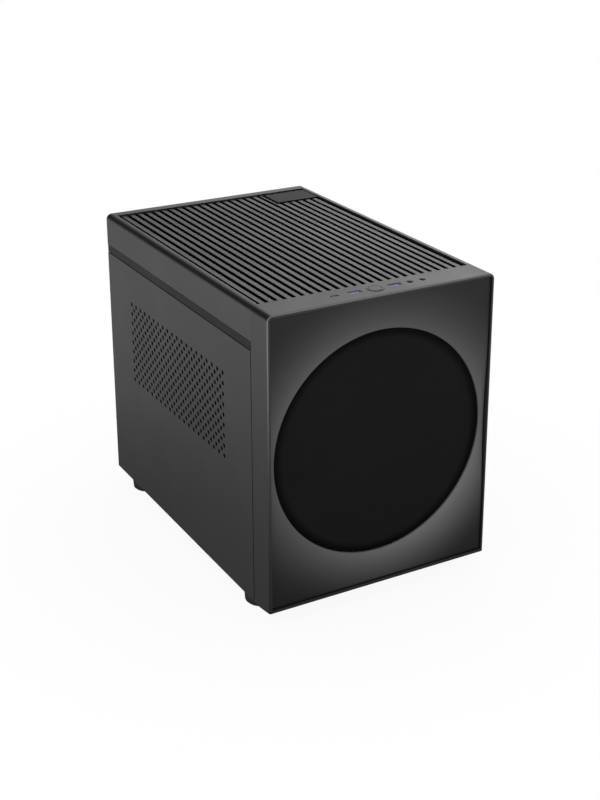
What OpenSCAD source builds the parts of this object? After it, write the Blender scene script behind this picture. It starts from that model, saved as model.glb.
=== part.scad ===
// Compact desktop computer case: folded steel chassis, moulded front with a round meshed
// intake, slatted top cover, two perforated side panels. Millimetres. X is across the
// front, the front faces -Y and Z is up. The feet stand on Z = 0.

/* [Body] */
// Width over the two side panels
case_w = 250; // [248:1:270]
// Depth from the front face to the rear lips of the side panels
case_d = 378; // [372:1:410]
// Height of the body without the feet
body_h = 306.5; // [303:0.5:330]
// Radius of the long top edges
edge_r = 6; // [4:0.5:7]
// Radius of the bezel's front edges
front_r = 2; // [1:0.5:2.4]

/* [Sheet steel] */
// Thickness of the chassis and panel sheets
sheet = 1.2; // [0.8:0.1:1.6]
// Clearance between folded sheets that fit into each other
fold_gap = 0.2; // [0.1:0.05:0.3]
// Width of the lips folded inwards on the side panels
lip_w = 7; // [5:0.5:9]
// Width of the side panels' rear lips
rear_lip = 10; // [9:0.5:12]
// Height of the folded flanges of the base pan
pan_flange = 14; // [8:1:20]
// Depth of the folded edges of the front frame
frame_flange = 12; // [8:1:14]

/* [Front bezel] */
// Depth of the bezel from the front face to its seam
bezel_d = 32; // [30:1:40]
// Wall of the bezel
bezel_wall = 2.5; // [2:0.1:3]
// Width of the rim around the front plate
rim_w = 2.8; // [2.5:0.1:4]
// Width of the shadow groove between the rim and the front plate
groove_w = 0.8; // [0.5:0.1:1.5]
// Thickness of the ledge that carries the front plate
ledge_t = 3; // [2:0.1:4]
// Height by which the lower front edge is drawn up
chin_rise = 3; // [1:0.5:5]
// Depth over which the underside rises to the front edge
chin_run = 20; // [12:1:26]
// Length of the lip of the connector strip that reaches over the top cover
tongue = 2.2; // [1.5:0.1:3]
// Width of a clip post
post_w = 9.5; // [7:0.5:11]
// Width of the tongue that snaps into the front frame
snap_w = 6; // [4:0.5:7]

/* [Front plate] */
// Thickness of the front plate
plate_t = 6; // [5.4:0.1:7]
// Depth of the plate's face behind the rim
plate_set = 2.2; // [1:0.1:3]
// Distance between the round intake and the side of the case
intake_side = 8.5; // [7:0.5:20]
// Width of the band over which the face rolls into the intake
dish_run = 33.5; // [25:0.5:40]
// Depth of the rolled edge at the intake
dish_depth = 3.5; // [2:0.5:4.5]

/* [Intake mesh] */
// Thickness of the mesh disc
mesh_t = 1.2; // [0.8:0.1:1.6]
// Overlap of the disc behind the front plate
mesh_lap = 1.4; // [1:0.1:1.8]
// Width of the ring that clamps the disc
ring_w = 7; // [5:0.5:10]
// Thickness of the clamping ring
ring_t = 1.6; // [1.2:0.1:1.7]

/* [Top cover] */
// Height of the cover's skirt
cover_h = 34; // [32:1:40]
// Wall of the cover
cover_wall = 2.2; // [1.8:0.1:2.6]
// Width of one slot
slot_w = 4.6; // [4:0.1:4.8]
// Width of one slat
slat_w = 4.9; // [4.4:0.1:5]
// Thickness of the slats
slat_t = 2.5; // [2:0.1:3]
// Depth of the slats below the cover's border
slat_drop = 1.5; // [0.8:0.1:2]
// Width of the border beside the slots
side_border = 8.7; // [8:0.1:12]
// Width of the border behind the slots
rear_border = 11; // [8:1:16]
// Thickness of the dust filters' mesh
filter_mesh_t = 0.8; // [0.5:0.1:1.2]
// Thickness of the top filter's frame
filter_t = 2.2; // [1.6:0.1:3]
// Radius of the pegs under the cover
peg_r = 2.4; // [2:0.1:3]

/* [Top rails] */
// Height of a top rail
rail_h = 8.4; // [7:0.1:10]
// Width of a top rail
rail_w = 18; // [14:0.5:20]
// Depth of the rail's face behind the side panel's face
rail_set = 0.3; // [0.1:0.1:0.8]
// Gap between the cover and the rail
cover_gap = 0.5; // [0.3:0.1:0.8]
// Gap between the rail and the side panel
rail_gap = 0.8; // [0.5:0.1:1.2]

/* [Name plate, left bare] */
// Width of the bare plate on the slats
badge_w = 52; // [40:1:58]
// Depth of the bare plate
badge_d = 34; // [24:1:40]
// Width of the dark groove around the plate
badge_gap = 2.6; // [1.5:0.1:3.5]
// Depth of the groove below the slats' face
badge_sink = 1.8; // [1:0.1:1.9]
// Height of the plate's face above the slats
badge_rise = 0.9; // [0.3:0.1:1.4]

/* [Side perforation] */
// Pitch of the holes along a row
perf_pitch = 11.72; // [10:0.01:12]
// Pitch of the rows
perf_step = 5.5; // [5:0.1:6]
// Diameter of one hole
perf_dia = 4.7; // [3:0.1:5]
// Distance of the first holes behind the panel's front edge
perf_front = 59; // [40:1:80]
// Distance of the last holes before the panel's rear edge
perf_rear = 63; // [40:1:80]
// Distance of the highest row below the panel's upper edge
perf_top = 42.6; // [30:0.1:60]
// Distance of the lowest row above the motherboard tray
perf_low = 42; // [30:1:60]
// Thickness of the side filters' frame
side_filter_t = 1.8; // [1.4:0.1:2.4]

/* [Front connectors] */
// Distance of the connector row behind the front face
port_y = 19; // [18:0.5:21]
// Diameter of the power button
button_dia = 16.6; // [14:0.1:18]
// Travel of the power button
button_travel = 1.5; // [1:0.1:2]
// Clearance around the button and the connectors
port_gap = 0.25; // [0.15:0.05:0.4]
// Distance of the type A sockets from the middle
usb_a_x = 22; // [20:0.5:26]
// Distance of the type C socket from the middle
usb_c_x = 44; // [40:0.5:50]
// Distance of the inner audio socket from the middle
audio_x = 39; // [36:0.5:42]
// Distance between the audio sockets
audio_pitch = 14; // [12:0.5:18]
// Bore of an audio socket
audio_bore = 3.6; // [3.5:0.05:3.7]
// Depth of the connectors' board below the top
board_drop = 23; // [21:0.5:26]
// Thickness of the connectors' board
board_t = 1.6; // [1.2:0.1:2]

/* [Motherboard and rear openings] */
// Height of the motherboard tray above the body's lower edge
tray_h = 90; // [89:1:96]
// Height of the board standoffs
standoff_h = 6.5; // [5:0.5:8]
// Thread bore of a standoff
standoff_bore = 2.6; // [2.4:0.1:2.9]
// Width of the rear connector opening
io_w = 158.75; // [158:0.05:159.5]
// Height of the rear connector opening
io_h = 44.45; // [44:0.05:45]
// Distance of the connector opening from the side of the case
io_side = 14.25; // [13.5:0.05:17]
// Pitch of the expansion slots
slot_pitch = 20.32; // [20:0.01:20.6]
// Number of expansion slots
slot_count = 2; // [1:1:2]
// Height of an expansion slot's opening
slot_open_h = 104; // [96:1:106]
// Width of a blanking bracket
bracket_w = 18.4; // [17:0.1:19]
// Length of the outer ledge on which the brackets are screwed
ledge_l = 11; // [10:0.5:13]

/* [Power supply opening] */
// Width of a standard power supply
psu_w = 150; // [150:1:152]
// Height of a standard power supply
psu_h = 86; // [84:1:86]
// Distance of its screws from its edges
psu_inset = 6; // [5.5:0.1:6.5]
// Width of the opening in the rear panel
psu_cut_w = 124; // [110:1:126]
// Height of the opening in the rear panel
psu_cut_h = 60; // [50:1:62]

/* [Fans] */
// Distance between the front fan's frame and the side of the case
fan_f_side = 25; // [24:0.5:30]
// Distance of the front fan's screws from the edges of its frame
fan_f_edge = 23; // [20:0.5:26]
// Distance of the rear fan above the connector opening
fan_r_low = 5; // [4:0.5:8]
// Distance between the rear fan and the top cover
fan_r_top = 7.55; // [6:0.05:10]
// Distance between the rear fan and the first bracket
fan_r_side = 20.3; // [12:0.1:24]
// Distance of the rear fan's screws from the edges of its frame
fan_r_edge = 7.5; // [7:0.5:8]
// Thickness of both fans
fan_t = 25; // [20:1:25]
// Clearance between blade tips and the fan's bore
tip_gap = 1.5; // [1:0.1:2.5]
// Thickness of a fan blade
blade_t = 1.6; // [1.2:0.1:2]
// Radius to which a fan blade is curved
blade_arc = 38; // [30:1:60]
// Radius of the pin on which a rotor turns
pin_r = 2; // [1.5:0.1:2.5]
// Running clearance of the rotor on its pin
pin_gap = 0.05; // [0.02:0.01:0.08]

/* [Feet and screws] */
// Height of the feet
foot_h = 13.5; // [10:0.5:14]
// Diameter of a foot
foot_dia = 36; // [28:1:40]
// Distance of a foot's centre from the side
foot_in = 20; // [20:1:30]
// Distance of the front feet behind the front face
foot_front = 54.5; // [52:0.5:70]
// Distance of the rear feet before the rear edge of the body
foot_rear = 40.5; // [38:0.5:78]
// Radius of a foot screw
foot_screw_r = 2; // [1.5:0.1:2.5]
// Length of a thumbscrew's head
thumb_len = 5; // [3:0.5:7]
// Diameter of a thumbscrew's head
thumb_dia = 9; // [7:0.5:10]
// Radius of a thumbscrew's thread
thumb_shank = 1.7; // [1.4:0.1:2]
// Height of the lower thumbscrews above the body's lower edge
thumb_low = 60; // [40:1:80]
// Distance of the upper thumbscrews below the panel's upper edge
thumb_high = 46; // [40:1:80]
// Radius of a fan screw's thread
screw_r = 1.9; // [1.6:0.1:2.1]
// Length of a fan screw's thread
screw_l = 11; // [8:1:14]

/* [Hidden] */
$fn = 64;
cut = 1;

// The box that holds the body and the ledge behind it is centred on the origin.
hw = case_w / 2;
y0 = -(case_d + ledge_l - sheet - fold_gap) / 2;
y1 = y0 + case_d;
zb = foot_h;
zt = foot_h + body_h;

// Front: seam of the bezel, steel frame behind it, front edge of the side panels.
seam_y = y0 + bezel_d;
frame_y = seam_y + sheet;
panel_y = frame_y + fold_gap;
flange_x = hw - sheet - lip_w - fold_gap;
frame_hw = hw - cover_wall - 2 * fold_gap;

// Top: skirt of the cover, rail under it, side panel under the rail.
cover_z = zt - cover_h;
rail_z = cover_z - cover_gap - rail_h;
panel_z = rail_z - rail_gap;
rail_x = hw - rail_set;
slat_z = zt - slat_drop;
under_z = slat_z - slat_t;
slot_n = round((case_w - 2 * side_border + slat_w) / (slot_w + slat_w));
field_w = slot_n * slot_w + (slot_n - 1) * slat_w;
field_y0 = seam_y + tongue + fold_gap;
field_y1 = y1 - rear_border;
frame_top = under_z - filter_t - 2 * fold_gap;
peg_pad = 6;
peg_x = hw - cover_wall - peg_pad / 2;
filter_rim = 3;

// Rear: lips of the side panels lie on the rear panel.
rear_y = y1 - sheet - fold_gap;
rear_in = rear_y - sheet;
rear_hw = hw - rail_set - sheet - fold_gap;
corner = 4;

// Front plate and what sits behind it.
intake_r = hw - intake_side;
intake_z = zb + body_h / 2;
pocket_z = zb + chin_rise + rim_w;
plate_y = y0 + plate_set;
ledge_y = plate_y + plate_t;
ledge_back = ledge_y + ledge_t;
ledge_r = intake_r + mesh_lap + fold_gap;
dish_r = intake_r + dish_run;
roll_r = (dish_run * dish_run + dish_depth * dish_depth) / (2 * dish_depth);
chin_a = atan(chin_rise / chin_run);
post_h = 6;
post_x = flange_x - sheet - post_w;
post_low = zb + chin_rise + 2 * post_h;
post_high = zt - board_drop + 1;
snap_t = 3;
snap_l = 3;

// Bare name plate on the slats.
badge_x1 = field_w / 2 - 0.4;
badge_x0 = badge_x1 - badge_w;
badge_pocket = field_y1 - 2.4;
badge_y1 = badge_pocket - badge_gap;
badge_y0 = badge_y1 - badge_d;
badge_z = slat_z - badge_sink;

// Connector strip.
row_y = y0 + port_y;
strip_z = zt - bezel_wall;
board_z = zt - board_drop;
port_z = board_z + board_t;
port_top = zt - 0.6;
port_h = port_top - port_z;
port_floor = 4;
board_end = 14;
board_x0 = -usb_c_x - board_end - 2;
board_x1 = audio_x + audio_pitch + board_end;
board_hd = row_y - ledge_back - 0.3;
board_post = 3;
button_r = button_dia / 2;
button_rise = 0.3;
button_lip = 1.2;
lip_hd = 6;
lip_h = 1.4;
stem_r = 2.5;
switch_w = 12;
switch_h = 8;
stem_z = port_z + switch_h - 3;
well_z = stem_z - button_travel - 0.5;
usb_w = 13.1;
usb_d = 5.7;
usb_wall = 0.4;
usb_tongue = 2;
usb_c_w = 8.9;
usb_c_d = 3.2;
usb_c_wall = 0.3;
audio_collar = 3;
audio_w = 10;

// Motherboard tray and the four holes of the small standard board.
tray_z = zb + tray_h;
fan_f = case_w - 2 * fan_f_side;
tray_y0 = frame_y + fan_t + 8;
arm_x0 = fan_f / 2 + 1.2;
arm_y = frame_y + frame_flange + 1;
tray_flange = 10;
cable_w = 34;
cable_d = 22;
cable_edge = 8;
io_z = tray_z + standoff_h - 1;
io_x1 = hw - io_side;
io_x0 = io_x1 - io_w;
board_edge = 5.6;
hole_in = 6.35;
hole_row = 10.16;
hole_u = 157.48;
hole_v = 154.94;
hole_f = 22.86;
hole_x1 = io_x1 + board_edge - hole_in;
hole_x0 = hole_x1 - hole_u;
hole_y1 = rear_in - 1.5 - hole_row;
window_in = 34;
standoff_r = 2.8;

// Expansion slots.
slot_x = io_x0 - 11.5;
slot_open_w = 13;
slot_z0 = tray_z + standoff_h + 6;
ledge_z = slot_z0 + slot_open_h + 4;
bracket_t = 0.9;
bracket_foot = 6;
bracket_vents = 12;
bracket_vent_w = 8;
bracket_vent_h = 3;
bracket_step = 7;
bracket_low = 1;
tab_l = ledge_l - 1;
tab_z = ledge_z + sheet;
tab_slit = 3.2;
slot_screw_y = rear_y + ledge_l / 2;
small_head = 3;
small_shank = 1.6;
ledge_x0 = slot_x - (slot_count - 1) * slot_pitch - bracket_w / 2 - fold_gap;
ledge_x1 = slot_x + bracket_w / 2 + fold_gap;
vent_w = 34;
vent_h = 2;
vent_pitch = 4;
vent_edge = 8;
vent_n = floor((cover_z - ledge_z - 2 * vent_edge) / vent_pitch);

// Power supply pattern, seen from the front.
psu_z = zb + sheet + psu_h / 2 + 0.3;
psu_a = psu_w / 2 - psu_inset;
psu_b = psu_h / 2 - psu_inset;
psu_step = 10;
psu_c = 45;
psu_hole = 1.9;

// Drive bracket.
drive_w = 101.6;
drive_l = 146;
drive_y = tray_y0 + 6;
drive_h = 34;
drive_rows = [22, 82, 123];
drive_hole = 1.8;

// Fans.
fan_r = cover_z - (io_z + io_h) - fan_r_low - fan_r_top;
fan_r_z = io_z + io_h + fan_r_low + fan_r / 2;
fan_r_x = slot_x + bracket_w / 2 + fan_r_side + fan_r / 2;
fan_f_pitch = fan_f - 2 * fan_f_edge;
fan_r_pitch = fan_r - 2 * fan_r_edge;
bore_f = fan_f / 2 - 4;
bore_r = fan_r / 2 - 2.5;
hub_f = 26;
hub_r = 20;
fan_hole = 2.2;
strut_t = 3;
strut_w = 5;
blade_tilt = 36;
blade_deep = 12;
blade_chord = 60;
screw_head = 3.6;
screw_head_h = 2;
cross_w = 0.8;
cross_d = 0.8;

// Perforation and the filter behind it.
perf_n = round((y1 - panel_y - perf_front - perf_rear) / perf_pitch) + 1;
perf_rows = round((panel_z - perf_top - tray_z - perf_low) / perf_step) + 1;
perf_y = panel_y + perf_front;
perf_z = panel_z - perf_top;
perf_len = (perf_n - 1) * perf_pitch;
perf_high = (perf_rows - 1) * perf_step;
side_rim = 8;

// Thumbscrews, base pan and feet.
thumb_z = [zb + thumb_low, panel_z - thumb_high];
thumb_x = hw - sheet - rear_lip / 2;
thumb_shank_l = 9;
foot_r = foot_dia / 2;
foot_y = [y0 + foot_front, y1 - foot_rear];
foot_well = 5.5;
foot_floor = 3;
foot_chamfer = 1.2;
foot_head = 4;
foot_head_h = 2.4;
foot_nut = 3.4;
pan_slot_w = 4;
pan_slot_l = 24;
pan_pitch = 9.5;
pan_step = 36;

module span(x0, x1, ya, yb, z0, z1) {
  translate([x0, ya, z0]) cube([x1 - x0, yb - ya, z1 - z0]);
}

module both() {
  children();
  mirror([1, 0, 0]) children();
}

// Cylinder along Y from y = a to y = b.
module rod_y(x, z, r, a, b) {
  translate([x, b, z]) rotate([90, 0, 0]) cylinder(r = r, h = b - a);
}

// Flat outline in X and Z, extruded along Y from a to b.
module sheet_y(a, b) {
  translate([0, b, 0]) rotate([90, 0, 0]) linear_extrude(height = b - a) children();
}

// Front view of the body, drawn in by a distance, from the height z0 up: its upper corners
// are rounded.
module arch(inset, z0) {
  r = max(edge_r - inset, 0.2);
  x = hw - inset;
  z = zt - inset;
  difference() {
    translate([-x, z0]) square([2 * x, z - z0]);
    both() translate([x - r, z - r]) difference() {
      square(r + cut);
      circle(r = r);
    }
  }
}

module chassis_base() {
  color("#3a3b3e") difference() {
    union() {
      span(-rear_hw, rear_hw, frame_y, rear_in, zb, zb + sheet);
      both() span(rear_hw - sheet, rear_hw, panel_y + sheet + fold_gap, rear_in, zb, zb + pan_flange);
    }
    for (i = [-6 : 6], j = [0 : 3])
      translate([i * pan_pitch, rear_in - pan_slot_l - 20 - j * pan_step, zb - cut])
        linear_extrude(height = sheet + 2 * cut) rotate(90) pill(pan_slot_l + pan_slot_w, pan_slot_w);
    feet_at() translate([0, 0, zb - cut]) cylinder(r = foot_screw_r + fold_gap, h = sheet + 2 * cut);
  }
}

module feet_at() {
  for (sx = [-1, 1], y = foot_y) translate([sx * (hw - foot_in), y, 0]) children();
}

module front_frame() {
  window_x = audio_x + audio_pitch + board_end + 3;
  snap_hole = [snap_w + 2 * fold_gap, snap_t + 2 * fold_gap];
  color("#3a3b3e") {
    difference() {
      span(-frame_hw, frame_hw, seam_y, frame_y, zb, frame_top);
      rod_y(0, intake_z, bore_f + 1, seam_y - cut, frame_y + cut);
      fan_holes(0, intake_z, fan_f_pitch, seam_y - cut, frame_y + cut, screw_r + 0.3);
      span(-window_x, window_x, seam_y - cut, frame_y + cut, board_z - 12, board_z + 8);
      posts_at() sheet_y(seam_y - cut, frame_y + cut) square(snap_hole, center = true);
    }
    both() span(flange_x - sheet, flange_x, frame_y, frame_y + frame_flange, zb + corner, panel_z - 6);
  }
}

// Clip posts of the bezel.
module posts_at() {
  corners = [for (x = [-post_x, post_x], z = [post_low, post_high]) [x, z]];
  for (p = concat(corners, [[0, post_low]]))
    translate([p[0], 0, p[1]]) children();
}

module rear_outline() {
  difference() {
    translate([-rear_hw, zb]) square([2 * rear_hw, cover_z - fold_gap - zb]);
    translate([io_x0, io_z]) square([io_w, io_h]);
    for (i = [0 : slot_count - 1])
      translate([slot_x - i * slot_pitch - slot_open_w / 2, slot_z0]) square([slot_open_w, slot_open_h]);
    translate([ledge_x0, tab_z]) square([ledge_x1 - ledge_x0, tab_slit]);
    translate([-psu_cut_w / 2, psu_z - psu_cut_h / 2]) square([psu_cut_w, psu_cut_h]);
    psu_points() circle(r = psu_hole);
    translate([fan_r_x, fan_r_z]) {
      fan_grille();
      for (sx = [-1, 1], sz = [-1, 1])
        translate([sx * fan_r_pitch / 2, sz * fan_r_pitch / 2]) circle(r = screw_r + 0.3);
    }
    for (sx = [-1, 1], z = thumb_z) translate([sx * thumb_x, z]) circle(r = thumb_shank + 0.1);
    for (i = [0 : vent_n - 1])
      translate([ledge_x0, ledge_z + vent_edge + i * vent_pitch]) square([vent_w, vent_h]);
  }
}

module psu_points() {
  for (p = [[-psu_a, -psu_b], [psu_a, -psu_b], [-psu_a, psu_b - psu_step], [psu_c, psu_b]])
    translate([p[0], psu_z + p[1]]) children();
}

// Rings of slots around a solid middle, held by four diagonal spokes.
module fan_grille() {
  difference() {
    for (r = [14 : 7 : bore_r - 1]) difference() {
      circle(r = r + 4.6);
      circle(r = r);
    }
    for (a = [45, 135]) rotate(a) square([2 * fan_r, strut_w], center = true);
  }
}

// The brackets' tabs reach out through the slit and lie on the outer ledge.
module rear_panel() {
  color("#3a3b3e") {
    sheet_y(rear_in, rear_y) rear_outline();
    difference() {
      span(ledge_x0, ledge_x1, rear_in, rear_y + ledge_l, ledge_z, tab_z);
      slots_at() translate([0, slot_screw_y, ledge_z - cut])
        cylinder(r = small_shank + 0.1, h = sheet + 2 * cut);
    }
  }
}

module slots_at() {
  for (i = [0 : slot_count - 1]) translate([slot_x - i * slot_pitch, 0, 0]) children();
}

module top_rail() {
  color("#55565a") {
    difference() {
      span(rail_x - rail_w, rail_x, panel_y, rear_in, rail_z, rail_z + rail_h);
      span(rail_x - rail_w + sheet, rail_x - sheet, panel_y - cut, rear_in + cut, rail_z - cut,
        rail_z + rail_h - sheet);
      pegs_at() translate([0, 0, rail_z - cut]) cylinder(r = peg_r + fold_gap, h = rail_h + 2 * cut);
    }
    span(rail_x - sheet, rail_x, rear_in, y1, rail_z, rail_z + rail_h);
  }
}

module pegs_at() {
  for (y = [panel_y + 16, (panel_y + y1) / 2, y1 - 30]) translate([peg_x, y, 0]) children();
}

module top_rail_right() { top_rail(); }
module top_rail_left() { mirror([1, 0, 0]) top_rail(); }

module motherboard_tray() {
  z0 = tray_z - sheet;
  color("#45464a") difference() {
    union() {
      span(-rear_hw, rear_hw, tray_y0, rear_in, z0, tray_z);
      both() {
        span(arm_x0, rear_hw, arm_y, tray_y0, z0, tray_z);
        span(arm_x0, flange_x - sheet - fold_gap, frame_y, arm_y, z0, tray_z);
        span(rear_hw - sheet, rear_hw, tray_y0, rear_in, tray_z - tray_flange, tray_z);
      }
    }
    span(hole_x0 + window_in, hole_x1 - window_in, hole_y1 - hole_v + window_in, hole_y1 - window_in,
      z0 - cut, tray_z + cut);
    for (x = [cable_edge + cable_w / 2 - arm_x0, 0, arm_x0 - cable_edge - cable_w / 2])
      translate([x, tray_y0 + cable_edge + cable_d / 2, z0 - cut]) linear_extrude(height = sheet + 2 * cut)
        square([cable_w, cable_d], center = true);
    holes_at() translate([0, 0, z0 - cut]) cylinder(r = standoff_bore / 2, h = sheet + 2 * cut);
  }
}

module holes_at() {
  front = hole_y1 - hole_v;
  for (p = [[hole_x1, hole_y1], [hole_x1, front], [hole_x0, front], [hole_x0, hole_y1 - hole_f]])
    translate([p[0], p[1], 0]) children();
}

module board_standoffs() {
  color("#b08a3e") holes_at() difference() {
    translate([0, 0, tray_z]) cylinder(r = standoff_r, h = standoff_h, $fn = 6);
    translate([0, 0, tray_z - cut]) cylinder(r = standoff_bore / 2, h = standoff_h + 2 * cut);
  }
}

module drive_bracket() {
  z = zb + sheet;
  color("#45464a") difference() {
    union() {
      span(-drive_w / 2 - sheet, drive_w / 2 + sheet, drive_y, drive_y + drive_l, z, z + sheet);
      both() span(drive_w / 2, drive_w / 2 + sheet, drive_y, drive_y + drive_l, z, z + drive_h);
    }
    span(-drive_w * 0.3, drive_w * 0.3, drive_y + 24, drive_y + drive_l - 24, z - cut, z + sheet + cut);
    for (y = drive_rows) translate([-drive_w, drive_y + y, z + sheet + 8]) rotate([0, 90, 0])
      cylinder(r = drive_hole, h = 2 * drive_w);
  }
}

// Staggered rows, drawn from the first hole of the highest row towards +X and down.
module perf_outline() {
  for (j = [0 : perf_rows - 1], i = [0 : perf_n - 1 - j % 2])
    translate([(i + 0.5 * (j % 2)) * perf_pitch, -j * perf_step]) circle(d = perf_dia, $fn = 16);
}

module side_panel() {
  color("#4a4b4f") {
    translate([hw - sheet, 0, 0]) rotate([90, 0, 90]) linear_extrude(height = sheet) difference() {
      translate([panel_y, zb]) square([y1 - panel_y, panel_z - zb]);
      translate([perf_y, perf_z]) perf_outline();
    }
    span(hw - sheet - lip_w, hw - sheet, panel_y, panel_y + sheet, zb + corner, panel_z);
    span(hw - sheet - lip_w, hw - sheet, panel_y, rear_in - fold_gap, panel_z - sheet, panel_z);
    difference() {
      span(hw - sheet - rear_lip, hw - sheet, rear_y + fold_gap, y1, zb + corner, panel_z - corner);
      for (z = thumb_z) rod_y(thumb_x, z, thumb_shank + 0.5, rear_y, y1 + cut);
    }
  }
}

module right_side_panel() { side_panel(); }
module left_side_panel() { mirror([1, 0, 0]) side_panel(); }

// Mesh in a frame, held against the inside of the perforated field.
module side_filter() {
  x = hw - sheet - side_filter_t;
  ya = perf_y - side_rim;
  yb = perf_y + perf_len + side_rim;
  za = perf_z - perf_high - side_rim;
  zc = perf_z + side_rim;
  color("#101012") difference() {
    span(x, hw - sheet, ya, yb, za, zc);
    span(x - cut, hw - sheet - filter_mesh_t, ya + filter_rim, yb - filter_rim, za + filter_rim,
      zc - filter_rim);
  }
}

module side_filter_right() { side_filter(); }
module side_filter_left() { mirror([1, 0, 0]) side_filter(); }

module top_cover() {
  color("#4d4e52") {
    difference() {
      sheet_y(seam_y + fold_gap, y1) arch(0, cover_z);
      span(-hw + cover_wall, hw - cover_wall, y0, y1 - cover_wall, cover_z - cut, under_z);
      span(-field_w / 2, field_w / 2, y0, field_y1, slat_z, zt + cut);
      span(-hw + edge_r + fold_gap, hw - edge_r - fold_gap, y0, field_y0, slat_z, zt + cut);
      for (i = [0 : slot_n - 1]) {
        x = -field_w / 2 + i * (slot_w + slat_w);
        if (x + slot_w > badge_x0 - badge_gap) {
          span(x, x + slot_w, field_y0, badge_y0 - badge_gap, under_z - cut, zt);
          span(x, x + slot_w, badge_pocket, field_y1, under_z - cut, zt);
        } else span(x, x + slot_w, field_y0, field_y1, under_z - cut, zt);
      }
      span(badge_x0 - badge_gap, field_w / 2, badge_y0 - badge_gap, badge_pocket, badge_z, zt + cut);
    }
    both() pegs_at() {
      translate([0, 0, (cover_z + under_z) / 2]) cube([peg_pad, 10, under_z - cover_z], center = true);
      translate([0, 0, rail_z + 3]) cylinder(r = peg_r, h = cover_z - rail_z - 3);
    }
  }
}

module top_dust_filter() {
  w = peg_x - peg_pad / 2 - fold_gap;
  ya = field_y0 - 1;
  yb = field_y1 + 4;
  z0 = under_z - filter_t;
  color("#101012") difference() {
    span(-w, w, ya, yb, z0, under_z);
    span(-w + filter_rim, w - filter_rim, ya + filter_rim, yb - filter_rim,
      z0 + filter_mesh_t, under_z + cut);
  }
}

module badge_plate() {
  color("#303134") span(badge_x0, badge_x1, badge_y0, badge_y1, badge_z, slat_z + badge_rise);
}

// The front edge is rounded with a small radius, also along the arcs of the larger corners.
module bezel_solid() {
  difference() {
    sheet_y(y0, seam_y) arch(0, zb);
    both() translate([hw, y0, zb - cut]) linear_extrude(height = body_h - edge_r + cut) fillet_cut();
    translate([-hw + edge_r, y0, zt]) rotate([0, 90, 0]) linear_extrude(height = case_w - 2 * edge_r)
      mirror([1, 0]) fillet_cut();
    both() translate([hw - edge_r, y0, zt - edge_r]) rotate([90, 0, 0]) rotate_extrude(angle = 90)
      translate([edge_r, 0]) mirror([0, 1]) fillet_cut();
  }
}

// What a fillet takes off a corner at the origin.
module fillet_cut() {
  difference() {
    translate([-front_r, -cut]) square([front_r + cut, front_r + cut]);
    translate([-front_r, front_r]) circle(r = front_r);
  }
}

module front_bezel() {
  color("#2b2b2d") {
    difference() {
      bezel_solid();
      sheet_y(y0 - cut, ledge_y) arch(rim_w, pocket_z);
      rod_y(0, intake_z, ledge_r, y0, seam_y);
      sheet_y(ledge_back, seam_y + cut) arch(bezel_wall, zb + chin_rise + bezel_wall);
      translate([0, y0 + chin_run, zb]) rotate([-chin_a, 0, 0])
        span(-hw - cut, hw + cut, -2 * chin_run, 0, -2 * chin_run, 0);
      strip_cuts();
    }
    span(-hw + edge_r + 2 * fold_gap, hw - edge_r - 2 * fold_gap, seam_y, field_y0 - fold_gap, slat_z, zt);
    posts_at() {
      translate([-post_w / 2, ledge_back, -post_h / 2]) cube([post_w, seam_y - ledge_back, post_h]);
      translate([-snap_w / 2, seam_y, -snap_t / 2]) cube([snap_w, sheet + snap_l, snap_t]);
    }
    for (x = [board_x0 + board_post + 1, board_x1 - board_post - 1])
      translate([x, row_y, port_z]) cylinder(r = board_post, h = strip_z - port_z + 0.1);
  }
}

// The button's hole goes on behind the strip, so that its cap clears the plate's ledge.
module strip_cuts() {
  deep = lip_h + button_travel + cut;
  translate([0, row_y, strip_z - deep]) cylinder(r = button_r + port_gap, h = deep + bezel_wall + cut);
  translate([0, row_y, strip_z - cut]) linear_extrude(height = bezel_wall + 2 * cut) {
    for (s = [-1, 1])
      translate([s * usb_a_x, 0]) square([usb_w + 2 * port_gap, usb_d + 2 * port_gap], center = true);
    translate([-usb_c_x, 0]) pill(usb_c_w + 2 * port_gap, usb_c_d + 2 * port_gap);
    for (i = [0, 1]) translate([audio_x + i * audio_pitch, 0]) circle(r = audio_collar + port_gap);
  }
}

module pill(w, d) {
  square([w - d, d], center = true);
  for (s = [-1, 1]) translate([s * (w - d) / 2, 0]) circle(d = d);
}

// The face rolls into the intake on an arc that is tangent to the face at dish_r.
module front_plate() {
  color("#27272a") difference() {
    sheet_y(plate_y, ledge_y) arch(rim_w + groove_w, pocket_z + groove_w);
    rod_y(0, intake_z, intake_r, plate_y - cut, ledge_y + cut);
    translate([0, plate_y, intake_z]) rotate([90, 0, 0]) rotate_extrude($fn = 128) difference() {
      translate([intake_r - 10, -dish_depth - 3]) square([dish_run + 10, dish_depth + 5]);
      translate([dish_r, -roll_r]) circle(r = roll_r, $fn = 256);
      translate([intake_r - 11, -dish_depth - 4]) square([11, 4]);
    }
  }
}

module mesh_disc() {
  color("#0c0c0d") rod_y(0, intake_z, intake_r + mesh_lap, ledge_y, ledge_y + mesh_t);
}

module mesh_ring() {
  a = ledge_y + mesh_t;
  color("#1c1c1e") difference() {
    rod_y(0, intake_z, intake_r + mesh_lap, a, a + ring_t);
    rod_y(0, intake_z, intake_r + mesh_lap - ring_w, a - cut, a + ring_t + cut);
  }
}

module fan_holes(x, z, pitch, a, b, r) {
  for (sx = [-1, 1], sz = [-1, 1]) rod_y(x + sx * pitch / 2, z + sz * pitch / 2, r, a, b);
}

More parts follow.
